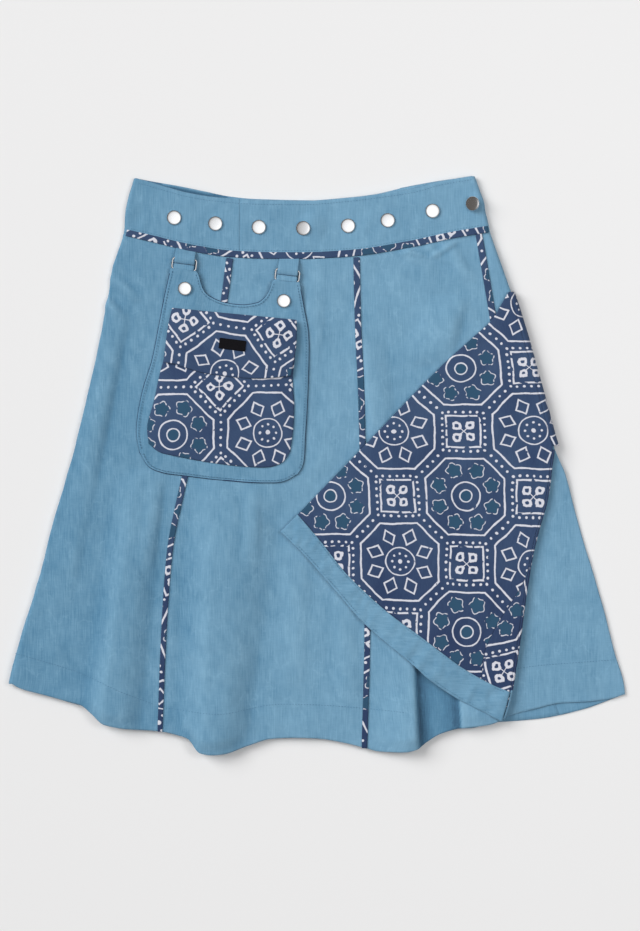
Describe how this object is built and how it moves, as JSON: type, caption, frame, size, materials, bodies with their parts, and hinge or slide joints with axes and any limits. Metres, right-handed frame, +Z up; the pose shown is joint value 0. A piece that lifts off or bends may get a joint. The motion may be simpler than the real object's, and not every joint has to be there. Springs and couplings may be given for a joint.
{
  "type": "wrap skirt",
  "caption": "Two-sided canvas wrap skirt with a snap waistband, printed seam trims, a turned-over printed corner and a detachable hip pouch, laid flat.",
  "frame": {"origin": "under the middle of the part's box, on the surface that it lies on", "axes": "+Z up from the surface that it lies on, +Y towards the waist, +X across the skirt towards the side where the corner is turned over"},
  "size_m": [0.6172, 0.5781, 0.0205],
  "materials": {
    "canvas": "matte light blue canvas",
    "printed_cotton": "matte navy block-printed cotton",
    "nickel": "polished nickel",
    "woven_label": "bare black woven tape"
  },
  "bodies": {
    "root": {"gore_left": "canvas", "gore_centre": "canvas", "gore_right": "canvas", "gore_end": "canvas", "gore_back_left": "canvas", "gore_back_right": "canvas", "gore_side": "canvas", "gore_inner": "canvas", "flap_hem_facing": "canvas", "waistband_right": "canvas", "waistband_main": "canvas", "pouch_backing": "canvas", "strap_left": "canvas", "strap_right": "canvas", "tab_turn_left": "canvas", "tab_turn_right": "canvas", "flap_end_gore": "printed_cotton", "flap_right_gore": "printed_cotton", "flap_side_turn": "printed_cotton", "flap_fold_roll": "printed_cotton", "seam_trim_left": "printed_cotton", "seam_trim_centre": "printed_cotton", "seam_trim_right": "printed_cotton", "waist_trim": "printed_cotton", "pocket_body": "printed_cotton", "pocket_flap": "printed_cotton", "snap_1": "nickel", "snap_2": "nickel", "snap_3": "nickel", "snap_4": "nickel", "snap_5": "nickel", "snap_6": "nickel", "snap_7": "nickel", "snap_8": "nickel", "pouch_snap_left": "nickel", "pouch_snap_right": "nickel", "ring_left": "nickel", "ring_right": "nickel", "pocket_label": "woven_label"}
  },
  "joints": []
}
